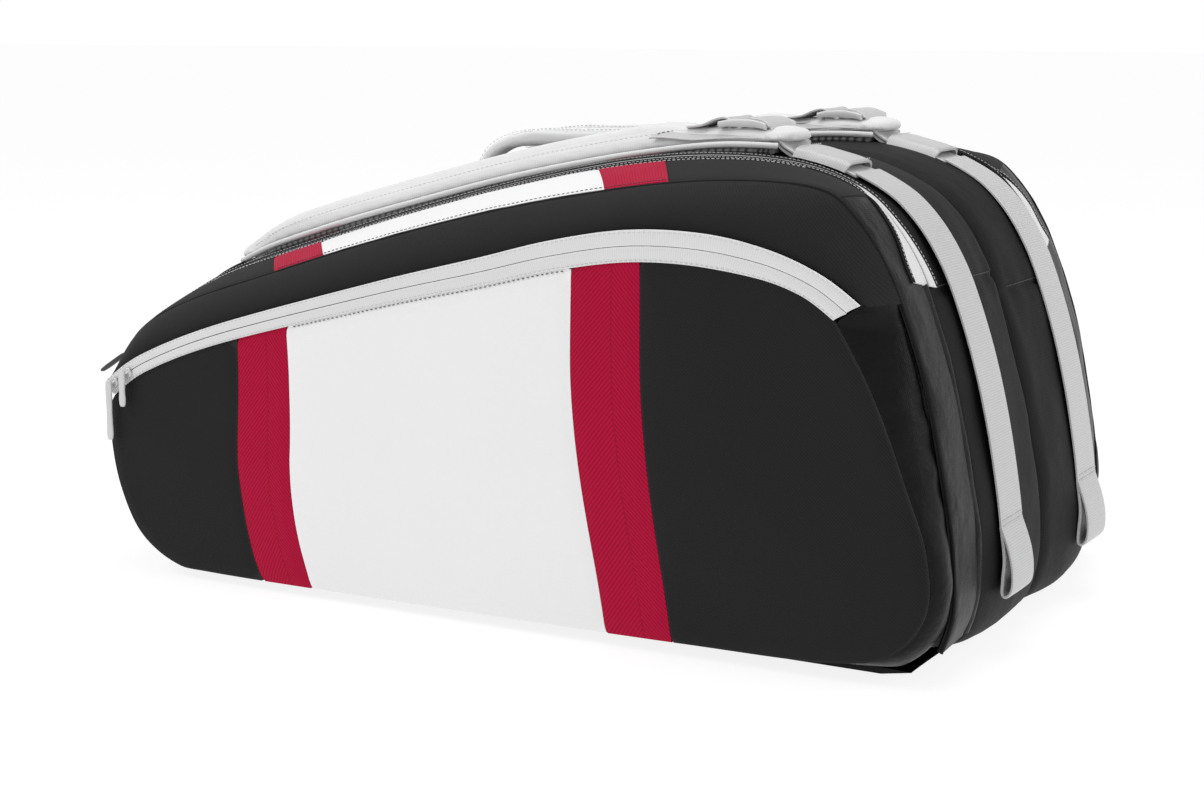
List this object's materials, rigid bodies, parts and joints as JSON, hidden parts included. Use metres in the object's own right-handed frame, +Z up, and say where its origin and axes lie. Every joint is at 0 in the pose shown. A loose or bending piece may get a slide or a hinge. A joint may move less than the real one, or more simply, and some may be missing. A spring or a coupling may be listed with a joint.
{
  "type": "racket bag",
  "caption": "Long racket bag with padded centre, zipped side lids carrying flap pockets, shoulder straps with buckles, webbing tails and grab handles.",
  "frame": {"origin": "on the floor under the middle of the bag, at the seam between the two centre halves", "axes": "+X along the bag towards its wide end, +Z up, near side towards -Y, far side towards +Y"},
  "size_m": [0.8279, 0.4816, 0.3779],
  "materials": {
    "charcoal_fabric": "woven polyester with a fine twill",
    "coated_fabric": "coated woven polyester with a soft shine",
    "white_panel": "smooth coated fabric",
    "red_webbing": "herringbone webbing",
    "zip_tape": "ribbed zip tape with a covered coil",
    "white_webbing": "satin woven webbing",
    "white_strap_fabric": "padded woven fabric",
    "grey_mesh": "open spacer mesh",
    "white_plastic": "gloss",
    "white_metal": "enamelled",
    "black_cord": "stiff moulded cord"
  },
  "bodies": {
    "centre": {"near_centre_half": "coated_fabric", "near_main_zip_inner": "zip_tape", "near_wide_gusset": "coated_fabric", "near_strap_anchor": "white_webbing", "far_centre_half": "coated_fabric", "far_main_zip_inner": "zip_tape", "far_wide_gusset": "coated_fabric", "far_strap_anchor": "white_webbing"},
    "near_lid": {"near_lid_band": "charcoal_fabric", "near_lid_panel": "charcoal_fabric", "near_lid_strip_red_narrow": "red_webbing", "near_lid_strip_white": "white_panel", "near_lid_strip_red_wide": "red_webbing", "near_upper_face": "charcoal_fabric", "near_pocket_gusset": "charcoal_fabric", "near_main_zip_outer": "zip_tape", "near_pocket_zip_upper": "zip_tape"},
    "near_flap": {"near_flap_narrow": "charcoal_fabric", "near_flap_red_narrow": "red_webbing", "near_flap_white": "white_panel", "near_flap_red_wide": "red_webbing", "near_flap_wide": "charcoal_fabric", "near_pocket_zip_lower": "zip_tape"},
    "near_main_slider": {"near_main_slider": "white_metal"},
    "near_main_pull": {"near_main_pull": "black_cord"},
    "near_pocket_slider_a": {"near_pocket_slider_a": "white_metal"},
    "near_pocket_pull_a": {"near_pocket_pull_a": "white_plastic"},
    "near_pocket_slider_b": {"near_pocket_slider_b": "white_metal"},
    "near_pocket_pull_b": {"near_pocket_pull_b": "white_plastic"},
    "near_strap": {"near_strap_pad": "white_strap_fabric", "near_strap_mesh": "grey_mesh"},
    "near_buckle": {"near_buckle": "white_plastic"},
    "near_strap_tail": {"near_strap_tail": "white_webbing"},
    "near_handle": {"near_handle": "white_strap_fabric"},
    "far_lid": {"far_lid_band": "charcoal_fabric", "far_lid_panel": "charcoal_fabric", "far_lid_strip_red_narrow": "red_webbing", "far_lid_strip_white": "white_panel", "far_lid_strip_red_wide": "red_webbing", "far_upper_face": "charcoal_fabric", "far_pocket_gusset": "charcoal_fabric", "far_main_zip_outer": "zip_tape", "far_pocket_zip_upper": "zip_tape"},
    "far_flap": {"far_flap_narrow": "charcoal_fabric", "far_flap_red_narrow": "red_webbing", "far_flap_white": "white_panel", "far_flap_red_wide": "red_webbing", "far_flap_wide": "charcoal_fabric", "far_pocket_zip_lower": "zip_tape"},
    "far_main_slider": {"far_main_slider": "white_metal"},
    "far_main_pull": {"far_main_pull": "black_cord"},
    "far_pocket_slider_a": {"far_pocket_slider_a": "white_metal"},
    "far_pocket_pull_a": {"far_pocket_pull_a": "white_plastic"},
    "far_pocket_slider_b": {"far_pocket_slider_b": "white_metal"},
    "far_pocket_pull_b": {"far_pocket_pull_b": "white_plastic"},
    "far_strap": {"far_strap_pad": "white_strap_fabric", "far_strap_mesh": "grey_mesh"},
    "far_buckle": {"far_buckle": "white_plastic"},
    "far_strap_tail": {"far_strap_tail": "white_webbing"},
    "far_handle": {"far_handle": "white_strap_fabric"}
  },
  "joints": [
    {"name": "near_lid_hinge", "type": "hinge", "parent": "centre", "child": "near_lid", "pos_m": [0.0612, -0.199, 0.0125], "axis": [1, 0, 0], "range_deg": [0, 12]},
    {"name": "near_flap_hinge", "type": "hinge", "parent": "near_lid", "child": "near_flap", "pos_m": [0.0612, -0.2284, 0.0078], "axis": [1, 0, 0], "range_deg": [0, 14]},
    {"name": "near_main_slider_run", "type": "slide", "parent": "near_lid", "child": "near_main_slider", "axis": [0.525, 0, 0.8511], "range_m": [0, 0.02]},
    {"name": "near_main_pull_hinge", "type": "hinge", "parent": "near_main_slider", "child": "near_main_pull", "pos_m": [-0.34713, -0.1454, 0.18972], "axis": [0, -1, 0], "range_deg": [-35, 20]},
    {"name": "near_pocket_slider_a_run", "type": "slide", "parent": "near_flap", "child": "near_pocket_slider_a", "axis": [0.8505, 0, 0.526], "range_m": [-0.01, 0]},
    {"name": "near_pocket_pull_a_swing", "type": "hinge", "parent": "near_pocket_slider_a", "child": "near_pocket_pull_a", "pos_m": [-0.3198, -0.2386, 0.1565], "axis": [0, 1, 0], "range_deg": [-7, 35]},
    {"name": "near_pocket_slider_b_run", "type": "slide", "parent": "near_flap", "child": "near_pocket_slider_b", "axis": [0.944, 0, 0.33], "range_m": [0, 0.16]},
    {"name": "near_pocket_pull_b_swing", "type": "hinge", "parent": "near_pocket_slider_b", "child": "near_pocket_pull_b", "pos_m": [-0.3053, -0.2386, 0.1655], "axis": [0, 1, 0], "range_deg": [-35, 7]},
    {"name": "near_strap_lift", "type": "hinge", "parent": "centre", "child": "near_strap", "pos_m": [-0.2888, -0.09, 0.24247], "axis": [0, -1, 0], "range_deg": [0, 5]},
    {"name": "near_buckle_tilt", "type": "hinge", "parent": "near_strap", "child": "near_buckle", "pos_m": [0.1772, -0.09, 0.37473], "axis": [0, -1, 0], "range_deg": [0, 15]},
    {"name": "near_strap_tail_swing", "type": "hinge", "parent": "centre", "child": "near_strap_tail", "pos_m": [0.28252, -0.09, 0.34224], "axis": [0, -1, 0], "range_deg": [0, 35]},
    {"name": "near_handle_lean", "type": "hinge", "parent": "centre", "child": "near_handle", "pos_m": [0.0162, -0.033, 0.328], "axis": [0.9756, 0, 0.2195], "range_deg": [-15, 15]},
    {"name": "far_lid_hinge", "type": "hinge", "parent": "centre", "child": "far_lid", "pos_m": [0.0612, 0.199, 0.0125], "axis": [-1, 0, 0], "range_deg": [0, 12]},
    {"name": "far_flap_hinge", "type": "hinge", "parent": "far_lid", "child": "far_flap", "pos_m": [0.0612, 0.2284, 0.0078], "axis": [-1, 0, 0], "range_deg": [0, 14]},
    {"name": "far_main_slider_run", "type": "slide", "parent": "far_lid", "child": "far_main_slider", "axis": [0.525, 0, 0.8511], "range_m": [0, 0.02]},
    {"name": "far_main_pull_hinge", "type": "hinge", "parent": "far_main_slider", "child": "far_main_pull", "pos_m": [-0.34713, 0.1454, 0.18972], "axis": [0, -1, 0], "range_deg": [-35, 20]},
    {"name": "far_pocket_slider_a_run", "type": "slide", "parent": "far_flap", "child": "far_pocket_slider_a", "axis": [0.8505, 0, 0.526], "range_m": [-0.01, 0]},
    {"name": "far_pocket_pull_a_swing", "type": "hinge", "parent": "far_pocket_slider_a", "child": "far_pocket_pull_a", "pos_m": [-0.3198, 0.2386, 0.1565], "axis": [0, 1, 0], "range_deg": [-7, 35]},
    {"name": "far_pocket_slider_b_run", "type": "slide", "parent": "far_flap", "child": "far_pocket_slider_b", "axis": [0.944, 0, 0.33], "range_m": [0, 0.16]},
    {"name": "far_pocket_pull_b_swing", "type": "hinge", "parent": "far_pocket_slider_b", "child": "far_pocket_pull_b", "pos_m": [-0.3053, 0.2386, 0.1655], "axis": [0, 1, 0], "range_deg": [-35, 7]},
    {"name": "far_strap_lift", "type": "hinge", "parent": "centre", "child": "far_strap", "pos_m": [-0.2888, 0.09, 0.24247], "axis": [0, -1, 0], "range_deg": [0, 5]},
    {"name": "far_buckle_tilt", "type": "hinge", "parent": "far_strap", "child": "far_buckle", "pos_m": [0.1772, 0.09, 0.37473], "axis": [0, -1, 0], "range_deg": [0, 15]},
    {"name": "far_strap_tail_swing", "type": "hinge", "parent": "centre", "child": "far_strap_tail", "pos_m": [0.28252, 0.09, 0.34224], "axis": [0, -1, 0], "range_deg": [0, 35]},
    {"name": "far_handle_lean", "type": "hinge", "parent": "centre", "child": "far_handle", "pos_m": [0.0162, 0.033, 0.328], "axis": [-0.9756, 0, -0.2195], "range_deg": [-15, 15]}
  ]
}
